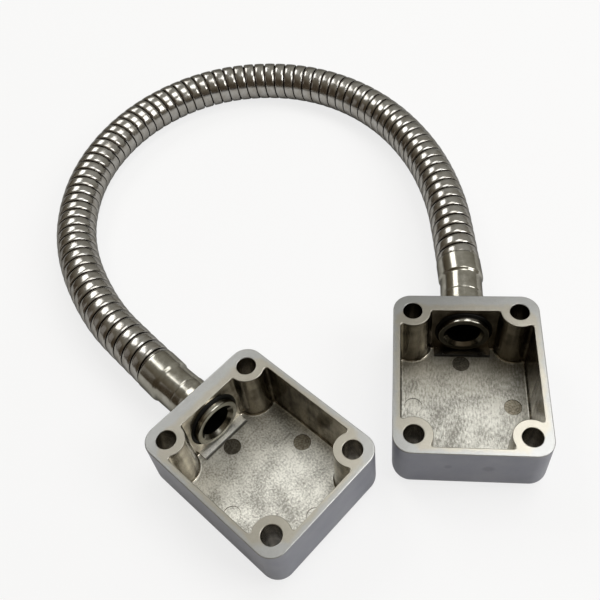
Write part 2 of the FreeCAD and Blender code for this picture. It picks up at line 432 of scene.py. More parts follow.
def arc(centre, start, end, count):
    """Points of the shorter arc about a centre, in equal steps of angle."""
    first = math.atan2(*(start - centre)[::-1])
    turn = (math.atan2(*(end - centre)[::-1]) - first + math.pi) % (2 * math.pi) - math.pi
    angle = first + turn * np.linspace(0, 1, count)
    return centre + np.linalg.norm(start - centre) * circle(angle)


def cavity_corner(side_x, side_y, boss_radius, wall_x, wall_y):
    """Outline of the cavity round one boss, from the side wall to the end wall, as three arcs.

    A blend circle touches the side wall and the boss, then the boss's own circle, then a blend
    circle that touches the boss and the end wall.
    """
    boss = np.array([side_x * HOLE_X, side_y * HOLE_Y])
    span = boss_radius + BOSS_BLEND
    side_mid_x = wall_x - side_x * BOSS_BLEND
    end_mid_y = wall_y - side_y * BOSS_BLEND
    side_mid = np.array([side_mid_x,
                         boss[1] - side_y * math.sqrt(span ** 2 - (side_mid_x - boss[0]) ** 2)])
    end_mid = np.array([boss[0] - side_x * math.sqrt(span ** 2 - (end_mid_y - boss[1]) ** 2),
                        end_mid_y])
    on_side = boss + (side_mid - boss) * boss_radius / span
    on_end = boss + (end_mid - boss) * boss_radius / span
    return np.concatenate([
        arc(side_mid, np.array([wall_x, side_mid[1]]), on_side, 5),
        arc(boss, on_side, on_end, 22)[1:],
        arc(end_mid, on_end, np.array([end_mid[0], wall_y]), 5)[1:],
    ])


def cavity_outline(depth, spread):
    """Outline of the space inside the box at a depth under the rim, anticlockwise.

    Walls lean in and bosses grow with the depth; spread moves both in, or out if it is negative.
    """
    side = BOX_WIDTH / 2 - SIDE_WALL - depth * CAVITY_DRAFT - spread
    far = -BOX_LENGTH / 2 + FAR_WALL + depth * CAVITY_DRAFT + spread
    near = INLET_FACE - INLET_WALL - depth * INLET_DRAFT - spread
    boss_radius = BOSS_RADIUS + depth * BOSS_DRAFT + spread
    corners = []
    for side_x, side_y in CORNERS:
        corner = cavity_corner(side_x, side_y, boss_radius, side_x * side, near if side_y > 0 else far)
        corners.append(corner if side_x == side_y else corner[::-1])
    return np.concatenate(corners)


def stack(outlines, heights):
    """Closed solid from outlines laid above each other: side faces, a bottom and a top."""
    columns = len(outlines[0])
    points = np.concatenate([
        np.column_stack([outline, np.full(columns, height)])
        for outline, height in zip(outlines, heights)
    ])
    sides = grid_faces(len(outlines), columns, closed_columns=True)
    bottom = list(range(columns))[::-1]
    top = list(range((len(outlines) - 1) * columns, len(outlines) * columns))
    return points, sides.tolist() + [bottom, top]


def outer_solid():
    """Outside of the box: quarter-round back edge, upright walls, small quarter-round at the rim."""
    back_in, back_up = quarter_round(BACK_EDGE_RADIUS, 13)
    rim_down, rim_in = quarter_round(RIM_EDGE_RADIUS, 5)
    outlines = [outer_outline(inset) for inset in np.concatenate([back_in, rim_in])]
    return stack(outlines, np.concatenate([back_up, BOX_HEIGHT - rim_down]))


def cavity_solid():
    """Space to take out: hollow foot round the floor, drafted walls, rounded edge at the rim."""
    flare, _ = quarter_round(FOOT_FLARE, 6)
    _, foot_up = quarter_round(FOOT_HEIGHT, 6)
    edge_down, edge_out = quarter_round(INNER_EDGE, 5)
    levels = np.concatenate([
        np.column_stack([FLOOR + foot_up, flare]),
        np.column_stack([np.linspace(FLOOR + FOOT_HEIGHT, BOX_HEIGHT - INNER_EDGE, 8)[1:-1],
                         np.zeros(6)]),
        np.column_stack([BOX_HEIGHT - edge_down, -edge_out]),
        [(BOX_HEIGHT + 2, -INNER_EDGE)],
    ])
    outlines = [cavity_outline(BOX_HEIGHT - height, spread) for height, spread in levels]
    return stack(outlines, levels[:, 0])


def lathe_solid(section, centre, sides=48):
    """Solid turned about an upright axis: rings of (height, radius), closed at both ends."""
    ring = circle(np.linspace(0, 2 * math.pi, sides, endpoint=False))
    section = np.asarray(section)
    return stack([np.asarray(centre) + radius * ring for radius in section[:, 1]], section[:, 0])


def hole_solid(side_x, side_y):
    """Screw hole, with a small rounded edge where it meets the rim."""
    edge_down, edge_out = quarter_round(INNER_EDGE, 5)
    section = np.concatenate([
        [(-1, HOLE_RADIUS)],
        np.column_stack([BOX_HEIGHT - edge_down, HOLE_RADIUS + edge_out]),
        [(BOX_HEIGHT + 2, HOLE_RADIUS + INNER_EDGE)],
    ])
    return lathe_solid(section, (side_x * HOLE_X, side_y * HOLE_Y))


def inlet_solid(radius, start, end):
    """Round space along the inlet's axis, from one y to another: (x, y, z) turned to (y, z, x)."""
    points, faces = lathe_solid([(start, radius), (end, radius)], (0, 0), RING_SIDES)
    return points[:, [1, 2, 0]] + (0, 0, AXIS_HEIGHT), faces


def ledge_solid():
    """Low step at the foot of the inlet wall, with rounded upper edges, reaching into the wall."""
    top = FLOOR + LEDGE_HEIGHT
    levels = ((FLOOR / 2, 0.0), (top - 0.2, 0.0), (top - 0.06, 0.06), (top, 0.2))
    outlines = []
    for height, inset in levels:
        x = LEDGE_WIDTH / 2 - inset
        front, back = LEDGE_FRONT + inset, WALL_FOOT + 2
        outlines.append(np.array([(x, front), (x, back), (-x, back), (-x, front)]))
    return stack(outlines, [height for height, inset in levels])


def cut(target, solids, operation="DIFFERENCE"):
    """Takes solids away from the target, or adds them to it, one after the other."""
    for points, faces in solids:
        tool = new_object("shaping_tool", points, faces)
        change = target.modifiers.new("shaping", "BOOLEAN")
        change.operation = operation
        change.solver = "EXACT"
        change.object = tool
        apply_modifiers(target)
        bpy.data.objects.remove(tool)


def casting_mesh():
    """The box casting in its own frame, as a mesh: outside, less the spaces, plus the ledge."""
    casting = new_object("casting", *outer_solid())
    cut(casting, [cavity_solid()] + [hole_solid(x, y) for x in (-1, 1) for y in (-1, 1)])
    cut(casting, [ledge_solid()], "UNION")
    cut(casting, [inlet_solid(RECESS_RADIUS, WALL_FOOT, RECESS_FLOOR),
                  inlet_solid(NECK_HOLE_RADIUS, WALL_FOOT, INLET_FACE + 1)])
    mark = [(FLOOR - PIN_MARK_DEPTH, PIN_MARK_RADIUS - 0.1), (FLOOR + 0.05, PIN_MARK_RADIUS + 0.05)]
    cut(casting, [lathe_solid(mark, centre) for centre in PIN_MARKS])
    mesh = casting.data
    bpy.data.objects.remove(casting)
    mesh.materials.clear()
    return mesh


def make_box(which, source, ledge_finish, *finishes):
    """One end box: the casting's mesh in its place, painted outside, faced at the rim, bare inside.

    The finishes are the materials of the paint, the walls, the floor, the rim, the oily pin faces
    and the ledge's front edge, in this order. The ledge's top takes the one that ledge_finish names.
    """
    mesh = source.copy()
    local = rows_of(mesh.vertices, "co") / MM
    centres = rows_of(mesh.polygons, "center") / MM
    normals = rows_of(mesh.polygons, "normal")
    x, y, z = centres.T
    inside = cavity_faces(centres, normals)
    up = normals[:, 2] > 0.9
    kind = np.where(inside, WALL, PAINT)
    kind[inside & up & (z < FLOOR + LEDGE_HEIGHT + 0.2)] = FLOOR_FACE
    kind[z > BOX_HEIGHT - INNER_EDGE - 0.02] = RIM
    ledge_top = inside & up & (z > FLOOR + LEDGE_HEIGHT - 0.25) & (z < FLOOR + 1)
    kind[ledge_top & (y > LEDGE_FRONT - 0.1)] = ledge_finish
    ledge_edge = inside & (y > LEDGE_FRONT - 0.1) & (y < LEDGE_FRONT + 0.3)
    ledge_edge &= (z > FLOOR + 0.05) & (z < FLOOR + LEDGE_HEIGHT)
    kind[ledge_edge & (np.abs(x) < LEDGE_WIDTH / 2 + 0.1)] = LEDGE_EDGE
    for mark_x, mark_y in PIN_MARKS[:2]:
        beside = np.hypot(x - mark_x, y - mark_y)
        kind[up & (z < FLOOR - 0.1) & (beside < PIN_MARK_RADIUS)] = PIN_FACE
    for material in finishes:
        mesh.materials.append(material)
    mesh.polygons.foreach_set("material_index", kind.astype(np.int32))
    keep_places(mesh, local)
    mesh.vertices.foreach_set("co", (put(local, which) * MM).ravel())
    mesh.update()
    mesh.shade_smooth()
    mesh.name = f"cast_box_{which}"
    piece = bpy.data.objects.new(f"cast_box_{which}", mesh)
    bpy.context.scene.collection.objects.link(piece)
    finish_normals(piece, 32)
    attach(piece, "root")
    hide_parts(f"box_{which}")


def cavity_faces(centres, normals):
    """Which faces are bare metal: those within the cavity's outline or in a hole, under the rim.

    The margins, of 0.02 to 0.5 mm, are well under the thickness of any wall.
    """
    x, y, z = centres.T
    in_cavity = (np.abs(x) < BOX_WIDTH / 2 - SIDE_WALL + 0.1) & (y < INLET_FACE - 0.5)
    in_cavity &= y > -BOX_LENGTH / 2 + FAR_WALL - 0.1
    under_rim = (z > FLOOR - 0.5) & (normals[:, 2] < 0.999) & (z < BOX_HEIGHT - 0.02)
    on_floor = (z > FLOOR - 0.5) & (z < FLOOR + LEDGE_HEIGHT + 0.3)
    return in_cavity & (under_rim | on_floor) & (outer_depth(x, y, z) > 0.3)


def outer_depth(x, y, z):
    """Depth of places under the box's outside walls, zero on them.

    It is the distance in from the rounded outline, less the inset of the quarter-round back edge.
    """
    beyond_x = np.abs(x) - (BOX_WIDTH / 2 - CORNER_RADIUS)
    beyond_y = np.abs(y) - (BOX_LENGTH / 2 - CORNER_RADIUS)
    past_corner = np.hypot(np.maximum(beyond_x, 0), np.maximum(beyond_y, 0))
    depth = CORNER_RADIUS - past_corner - np.minimum(np.maximum(beyond_x, beyond_y), 0)
    low = np.clip(BACK_EDGE_RADIUS - z, 0, BACK_EDGE_RADIUS)
    return depth - BACK_EDGE_RADIUS + np.sqrt(BACK_EDGE_RADIUS ** 2 - low ** 2)


# Hose

def route_points():
    """The route's points in mm, from ferrule A's end to ferrule B's end."""
    rise = HOSE_RADIUS + ROUTE[:, 2] * (AXIS_HEIGHT - HOSE_RADIUS)
    ends = []
    for which, lean in (("a", LEAN_A), ("b", LEAN_B)):
        out = np.array([-math.sin(lean), math.cos(lean), 0.0])
        start = np.array([0, INLET_FACE + BEND_PLACE, AXIS_HEIGHT]) + out * (FERRULE_END - BEND_PLACE)
        ends.append(put(np.stack([start, start + out * END_RUN]), which))
    return np.concatenate([ends[0], np.column_stack([ROUTE[:, :2], rise]), ends[1][::-1]])


def route_curve():
    """Fine points of the hose's centreline in mm, read from a smooth spline through the route."""
    points = route_points() * MM
    curve = bpy.data.curves.new("hose_route", "CURVE")
    curve.dimensions = "3D"
    curve.resolution_u = 64
    spline = curve.splines.new("NURBS")
    spline.points.add(len(points) - 1)
    spline.points.foreach_set("co", np.column_stack([points, np.ones(len(points))]).ravel())
    spline.order_u = 3
    spline.use_endpoint_u = True
    holder = bpy.data.objects.new("hose_route", curve)
    line = rows_of(bpy.data.meshes.new_from_object(holder).vertices, "co") / MM
    bpy.data.objects.remove(holder)
    return line


def smooth(values, width):
    """Running mean along the first axis, with the ends held."""
    padded = np.concatenate([np.repeat(values[:1], width, 0), values, np.repeat(values[-1:], width, 0)])
    kernel = np.ones(2 * width + 1) / (2 * width + 1)
    return np.stack([np.convolve(column, kernel, "valid") for column in padded.T], axis=1)


def between(wanted, places, values):
    """Vectors that are known at places along a line, read at the wanted places between them."""
    return np.stack([np.interp(wanted, places, column) for column in values.T], axis=-1)


def hose_line():
    """The hose's line at even distances: distance, centre, side and up vectors, and bend.

    The bend is the change of direction in each millimetre, and the smoothing takes the spline's
    small unevenness out of it.
    """
    line = route_curve()
    distance = np.concatenate([[0], np.cumsum(np.linalg.norm(np.diff(line, axis=0), axis=1))])
    even = np.linspace(0, distance[-1], FINE_STEPS)
    centre = between(even, distance, line)
    tangent = smooth(np.gradient(centre, even, axis=0), 8)
    tangent /= np.linalg.norm(tangent, axis=1)[:, None]
    bend = smooth(np.gradient(tangent, even, axis=0), 16)
    side = np.cross(UP, tangent)
    side /= np.linalg.norm(side, axis=1)[:, None]
    return even, centre, side, np.cross(tangent, side), bend


def turn_starts(length):
    """Distances along the line at which the turns start, and at which the last one ends."""
    number = np.arange(TURNS)
    slack = SLACK * (1 - np.tanh((number - SLACK_TURNS) / 4))
    pitch = 1 + slack + PITCH_WAVER * np.sin(number * 2.4)
    starts = np.concatenate([[0], np.cumsum(pitch)])
    return starts * (length / starts[-1])


def reached(count, starts):
    """Distance along the line after a number of turns, running on past both ends."""
    inner = np.interp(count, np.arange(TURNS + 1), starts)
    before = np.minimum(count, 0) * (starts[1] - starts[0])
    after = np.maximum(count - TURNS, 0) * (starts[-1] - starts[-2])
    return inner + before + after


def strip_section():
    """Section of one turn of strip: share of the half width, inset from the edge in mm, and height.

    The strip is slightly crowned. Its edges roll down in a quarter circle and end in the groove.
    """
    roll = np.linspace(0, math.pi / 2, 4)
    half = np.concatenate([
        [(0.0, 0.0, 0.0), (0.4, 0.0, -0.18 * CROWN), (0.75, 0.0, -0.6 * CROWN)],
        np.column_stack([np.ones(4), EDGE_ROLL * (np.sin(roll) - 1),
                         EDGE_ROLL * (np.cos(roll) - 1) - CROWN]),
        [(1.0, 0.0, -GROOVE_DEPTH)],
    ])
    mirrored = half[:0:-1] * (-1, -1, 1)
    return np.concatenate([mirrored, half])


def make_hose(material):
    """Right-handed wound strip along the hose's line, with a plain inner wall.

    A point at turn angle f and place v across the strip lies at the distance S(f / 2 pi + v) along
    the line, where S adds up the turns' pitches, and at line(S) + r * (cos f * side + sin f * up).
    The grooves between turns open on the outside of a bend and close on its inside.
    """
    even, centre, side_line, up_line, bend = hose_line()
    length = even[-1]

    def ray(angle, place):
        """Unit vectors out of the line at a distance along it and an angle round it."""
        return (np.cos(angle)[..., None] * between(place, even, side_line)
                + np.sin(angle)[..., None] * between(place, even, up_line))

    starts = turn_starts(length)
    turns = np.arange(-STRIP_STEPS, TURNS * STRIP_STEPS + 1) / STRIP_STEPS
    angle = turns * 2 * math.pi
    groove = reached(turns, starts)
    following = reached(turns + 1, starts)
    middle = np.clip((groove + following) / 2, 0, length)
    stretch = 1 - HOSE_RADIUS * np.sum(between(middle, even, bend) * ray(angle, middle), axis=1)
    open_gap = np.clip(GROOVE_WIDTH + GROOVE_GAIN * (stretch - 1), GROOVE_LEAST, GROOVE_MOST)
    half_width = (following - groove - open_gap / stretch) / 2

    # Each row is the strip's section at one angle, with a point in the groove on either side
    share, inset, height = strip_section().T
    place = (groove + following)[:, None] / 2 + share * half_width[:, None] + inset / stretch[:, None]
    waver = HEIGHT_WAVER * np.sin(turns * 3.1) + SLOW_WAVER * np.sin(angle * 0.37 + 1.0)
    waver -= HEIGHT_WAVER + SLOW_WAVER
    radius = HOSE_RADIUS + height + waver[:, None] * (height > -GROOVE_DEPTH)
    groove_floor = np.full(len(turns), HOSE_RADIUS - GROOVE_DEPTH)
    place = np.column_stack([groove, place, following])
    radius = np.column_stack([groove_floor, radius, groove_floor])
    held = np.clip(place, 0, length)
    points = between(held, even, centre) + radius[..., None] * ray(angle[:, None], held)
    places = np.stack([
        np.broadcast_to((angle * HOSE_RADIUS)[:, None], place.shape),
        (place - (groove + following)[:, None] / 2) * stretch[:, None],
        HOSE_RADIUS - radius,
    ], axis=-1)

    # Faces past either end of the hose are left out
    rows, columns = place.shape
    faces = grid_faces(rows, columns)
    corner_place = place.ravel()[faces]
    faces = faces[~((corner_place <= 0).all(1) | (corner_place >= length).all(1))]
    # One turn's last line of points is the first line of the turn after it
    row, column = np.divmod(faces, columns)
    shared = (column == columns - 1) & (row + STRIP_STEPS < rows)
    faces = np.where(shared, (row + STRIP_STEPS) * columns, faces)

    # The bore's wall, whose first and last rings reach out to the groove's floor and close the ends
    bore_place = np.concatenate([[0], np.linspace(0, length, BORE_RINGS), [length]])
    bore_radius = np.full(len(bore_place), HOSE_BORE_RADIUS)
    bore_radius[[0, -1]] = HOSE_RADIUS - GROOVE_DEPTH
    bore_angle = np.linspace(0, 2 * math.pi, BORE_SIDES, endpoint=False)
    bore = between(bore_place, even, centre)[:, None, :] + (
        bore_radius[:, None, None] * ray(bore_angle[None, :], bore_place[:, None]))
    bore_faces = grid_faces(len(bore_place), BORE_SIDES, closed_columns=True) + rows * columns

    piece = make_piece("wound_hose", np.concatenate([points.reshape(-1, 3), bore.reshape(-1, 3)]),
                       np.concatenate([faces[:, ::-1], bore_faces[:, ::-1]]), material,
                       np.concatenate([places.reshape(-1, 3), np.zeros((bore.size // 3, 3))]))
    finish_normals(piece, 50)
    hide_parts("hose")


# Materials. Each one's patterns follow place_mm, so a noise of scale s has features of about 1 / s mm.

def colour(hex_code):
    """Linear colour of an sRGB hex code."""
    srgb = np.array([int(hex_code[i:i + 2], 16) / 255 for i in (1, 3, 5)])
    linear = np.where(srgb <= 0.04045, srgb / 12.92, ((srgb + 0.055) / 1.055) ** 2.4)
    return (*linear.tolist(), 1.0)


def add(tree, kind, inputs=None, stops=None, **settings):
    """Adds a shader node: settings are its own properties, stops are a ramp's places and hex codes.

    Inputs are values, other nodes' outputs, or other nodes, whose first output is then taken.
    """
    node = tree.nodes.new("ShaderNode" + kind)
    for name, value in settings.items():
        setattr(node, name, value)
    for number, (place, shade) in enumerate(stops or ()):
        ramp = node.color_ramp.elements
        stop = ramp[number] if number < 2 else ramp.new(place)
        stop.position = place
        stop.color = colour(shade)
    for name, value in (inputs or {}).items():
        if isinstance(value, bpy.types.Node):
            value = value.outputs[0]
        if isinstance(value, bpy.types.NodeSocket):
            tree.links.new(value, node.inputs[name])
        else:
            node.inputs[name].default_value = value
    return node


def new_material(name):
    """Empty node material, and its tree."""
    material = bpy.data.materials.new(name)
    material.use_nodes = True
    material.node_tree.nodes.clear()
    return material, material.node_tree


def patterned_material(name):
    """Empty node material, its tree, and the place on the piece in mm, which its patterns follow."""
    material, tree = new_material(name)
    return material, tree, add(tree, "Attribute", attribute_name="place_mm").outputs["Vector"]


def finished(material, shader):
    """The material, with a shader joined to its output."""
    add(material.node_tree, "OutputMaterial", {"Surface": shader})
    return material


def bright_metal(name, line_scale, blotch_scale, shades, roughest, relief):
    """What rolled strip and polished plate share: a mirror with fine lines and faint tarnish.

    The scales are those of the lines and of the blotches along the three axes of place_mm, and the
    shades are the tarnished colour and the clean one. Towards grazing angles it mirrors less than
    clean metal would, which darkens its edges as painted shade for the shadowed paper that they mirror.
    Returns the material, its tree, place, tint and shader, whose base colour is still to be joined.
    """
    material, tree, place = patterned_material(name)
    stretched = add(tree, "Mapping", {"Vector": place, "Scale": line_scale})
    lines = add(tree, "TexNoise", {"Vector": stretched, "Scale": 1.0, "Detail": 3.0})
    wide = add(tree, "Mapping", {"Vector": place, "Scale": blotch_scale})
    blotch = add(tree, "TexNoise", {"Vector": wide, "Scale": 1.0, "Detail": 4.0})
    tint = add(tree, "ValToRGB", {"Fac": blotch}, stops=((0.3, shades[0]), (0.7, shades[1])))
    rough = add(tree, "MapRange", {"Value": lines, "From Min": 0.3, "From Max": 0.7,
                                   "To Min": 0.15, "To Max": roughest})
    bump = add(tree, "Bump", {"Height": lines, "Strength": relief, "Distance": 0.05 * MM})
    shader = add(tree, "BsdfPrincipled", {"Metallic": 1.0, "Roughness": rough,
                                          "Specular Tint": colour("#9a9a9a"), "Normal": bump})
    return finished(material, shader), tree, place, tint, shader


def stainless_strip():
    """Cold-rolled stainless strip, bright annealed: mirror-like, with faint rolling lines along it.

    Its colour is a warm grey, and the joints between the turns are painted dark: shade in the deep
    grooves, and old oil.
    """
    # Rolling lines about 0.15 mm apart across the strip, handling marks and tarnish of about 3 mm
    material, tree, place, tint, shader = bright_metal(
        "bright_rolled_stainless", (0.12, 6.0, 1.0), (0.35, 0.5, 0.6), ("#99958e", "#aeadaa"), 0.25, 0.1)
    # Painted shade and old oil in the joints: darker from 0.2 mm down, black-brown from 0.45 mm down
    depth = add(tree, "SeparateXYZ", {"Vector": place}).outputs["Z"]
    oil_and_painted_shade = add(tree, "MapRange", {"Value": depth, "From Min": 0.2, "From Max": 0.45})
    aged_and_shaded = add(tree, "Mix", {0: oil_and_painted_shade, "A": tint, "B": colour("#302c26")}, data_type="RGBA")
    tree.links.new(aged_and_shaded.outputs["Result"], shader.inputs["Base Color"])
    return material


def polished_nickel(name, collar_shade):
    """Nickel-plated turned tube, polished: warm mirror with fine turning marks round it.

    The flat front of its collar, in the box, is darkened by oil to a share of its brightness, which
    collar_shade gives.
    """
    # Turning marks about 0.2 mm apart, and tarnish in blotches of about 3 mm
    material, tree, place, tint, shader = bright_metal(
        name, (0.1, 5.0, 5.0), (0.3, 0.35, 0.4), ("#8f8c82", "#aaa8a0"), 0.2, 0.12)
    # The collar's round edge and all that is behind its front stay clean
    axes = add(tree, "SeparateXYZ", {"Vector": place})
    behind = add(tree, "MapRange", {"Value": axes.outputs["Y"], "From Min": COLLAR_FACE + 0.1,
                                    "From Max": COLLAR_FACE + 0.3})
    outer = add(tree, "MapRange", {"Value": axes.outputs["Z"], "From Min": COLLAR_RADIUS - 0.4,
                                   "From Max": COLLAR_RADIUS - 0.2})
    clean = add(tree, "Math", {0: behind, 1: outer}, operation="MAXIMUM")
    kept = add(tree, "MapRange", {"Value": clean, "To Min": collar_shade})
    shade = add(tree, "VectorMath", {0: tint, "Scale": kept}, operation="SCALE")
    tree.links.new(shade.outputs[0], shader.inputs["Base Color"])
    return material


def silver_paint(name, stains):
    """Satin silver enamel on a zinc casting: fine aluminium flake, faint orange peel, oval stains."""
    material, tree, place = patterned_material(name)
    # Flake, drawn at 0.17 mm because the real one is too fine to show, and clouds of about 8 mm
    flake = add(tree, "TexNoise", {"Vector": place, "Scale": 6.0, "Detail": 2.0})
    cloud = add(tree, "TexNoise", {"Vector": place, "Scale": 0.12, "Detail": 3.0})
    tint = add(tree, "ValToRGB", {"Fac": cloud}, stops=((0.3, "#818490"), (0.7, "#8f919b")))
    grain = add(tree, "Mix", {0: 0.10, "A": tint, "B": flake.outputs["Color"]},
                data_type="RGBA", blend_type="OVERLAY")
    paint = grain.outputs["Result"]
    for x, z, half_width, half_height in stains:
        # Distance from the stain's middle, in half widths and half heights
        offset = add(tree, "VectorMath", {0: place, 1: (x, -BOX_LENGTH / 2, z)}, operation="SUBTRACT")
        scaled = add(tree, "VectorMath", {0: offset, 1: (1 / half_width, 1, 1 / half_height)},
                     operation="MULTIPLY")
        reach = add(tree, "VectorMath", {0: scaled}, operation="LENGTH").outputs["Value"]
        kept = add(tree, "MapRange", {"Value": reach, "From Min": 0.6, "From Max": 1.2, "To Min": 0.78})
        paint = add(tree, "VectorMath", {0: paint, "Scale": kept}, operation="SCALE")
    # Orange peel of about 0.6 mm
    peel = add(tree, "TexNoise", {"Vector": place, "Scale": 1.6, "Detail": 2.0})
    bump = add(tree, "Bump", {"Height": peel, "Strength": 0.15, "Distance": 0.1 * MM})
    return finished(material, add(tree, "BsdfPrincipled", {
        "Base Color": paint, "Metallic": 0.35, "Roughness": 0.4, "Normal": bump}))


def faced_rim(name, dull, bright):
    """Rim faced on a belt: silver overspray over most of it, warm bare zinc next to the inside edge.

    Its brightness runs from a dull share to a bright one: belt wear at random, and painted light that
    grows brighter towards +X and -Y, the side that the light falls from.
    """
    material, tree, place = patterned_material(name)
    # Belt grain of about 0.4 mm, and worn patches of about 4 mm
    grain = add(tree, "TexNoise", {"Vector": place, "Scale": 2.4, "Detail": 4.0, "Roughness": 0.6})
    patch = add(tree, "TexNoise", {"Vector": place, "Scale": 0.3, "Detail": 5.0, "Roughness": 0.6})
    axes = add(tree, "SeparateXYZ", {"Vector": place})
    across = add(tree, "Math", {0: axes.outputs["X"]}, operation="ABSOLUTE")
    along = axes.outputs["Y"]
    # Depth inside an eight-sided bare zone: the least of four distances, from the sides, the far
    # end, the inlet end and the corners
    least = add(tree, "Math", {0: BARE_SIDE, 1: across}, operation="SUBTRACT")
    from_far = add(tree, "Math", {0: along, 1: BARE_FAR}, operation="ADD")
    from_inlet = add(tree, "Math", {0: BARE_INLET, 1: along}, operation="SUBTRACT")
    length = add(tree, "Math", {0: along}, operation="ABSOLUTE")
    both = add(tree, "Math", {0: across, 1: length}, operation="ADD")
    from_corner = add(tree, "Math", {0: both, 1: -DIAGONAL, 2: DIAGONAL * BARE_CORNER},
                      operation="MULTIPLY_ADD")
    for distance in (from_far, from_inlet, from_corner):
        least = add(tree, "Math", {0: least, 1: distance}, operation="MINIMUM")
    uneven = add(tree, "Math", {0: patch, 1: 3.0, 2: least}, operation="MULTIPLY_ADD")
    bare = add(tree, "MapRange", {"Value": uneven, "From Min": 1.2, "From Max": 2.4})
    base = add(tree, "Mix", {0: bare, "A": colour("#b1b2b1"), "B": colour("#b1ada2")},
               data_type="RGBA")
    # Painted light, brighter towards +X and -Y where the light falls from, over the belt's mottle
    painted_light_slope = add(tree, "Math", {0: axes.outputs["X"], 1: along}, operation="SUBTRACT")
    mottle = add(tree, "Math", {0: grain, 1: patch}, operation="ADD")
    mottle = add(tree, "Math", {0: mottle, 1: 30.0, 2: painted_light_slope}, operation="MULTIPLY_ADD")
    tone = add(tree, "MapRange", {"Value": mottle, "From Max": 60.0, "To Min": dull, "To Max": bright})
    tint = add(tree, "VectorMath", {0: base.outputs["Result"], "Scale": tone}, operation="SCALE")
    shine = add(tree, "MapRange", {"Value": bare, "To Min": 0.7, "To Max": 0.9})
    bump = add(tree, "Bump", {"Height": grain, "Strength": 0.3, "Distance": 0.1 * MM})
    return finished(material, add(tree, "BsdfPrincipled", {
        "Base Color": tint, "Metallic": shine, "Roughness": 0.3, "Normal": bump}))


def bare_zinc_wall(name, dark, pale, oil_and_shade):
    """Zinc alloy as it left the die, unpainted: dark and glossy, with drag marks up the drafted walls.

    Its colour runs from a dark to a pale one, and the wall round the inlet is browned as painted shade
    with old oil, as strongly as the last argument says.
    """
    material, tree, place = patterned_material(name)
    # Drag marks about 3 mm apart that run the wall's whole height, and stains of about 4 mm
    upright = add(tree, "Mapping", {"Vector": place, "Scale": (0.3, 0.3, 0.02)})
    streaks = add(tree, "TexNoise", {"Vector": upright, "Scale": 1.0, "Detail": 2.0})
    stain = add(tree, "TexNoise", {"Vector": place, "Scale": 0.25, "Detail": 4.0})
    worn = add(tree, "Math", {0: streaks, 1: stain}, operation="ADD")
    half = add(tree, "Math", {0: worn, 1: 0.5}, operation="MULTIPLY")
    tint = add(tree, "ValToRGB", {"Fac": half}, stops=((0.38, dark), (0.62, pale)))
    # Painted shade with old oil: brown from 16.5 mm to 19 mm along Y, at the inlet end
    along = add(tree, "SeparateXYZ", {"Vector": place}).outputs["Y"]
    oil_and_painted_shade = add(tree, "MapRange", {"Value": along, "From Min": 16.5, "From Max": 19.0, "To Max": oil_and_shade})
    aged_and_shaded = add(tree, "Mix", {0: oil_and_painted_shade, "A": tint, "B": colour("#3a332a")}, data_type="RGBA")
    rough = add(tree, "MapRange", {"Value": streaks, "From Min": 0.3, "From Max": 0.7,
                                   "To Min": 0.3, "To Max": 0.18})
    bump = add(tree, "Bump", {"Height": streaks, "Strength": 0.4, "Distance": 0.4 * MM})
    return finished(material, add(tree, "BsdfPrincipled", {
        "Base Color": aged_and_shaded.outputs["Result"], "Metallic": 1.0, "Roughness": rough, "Normal": bump}))


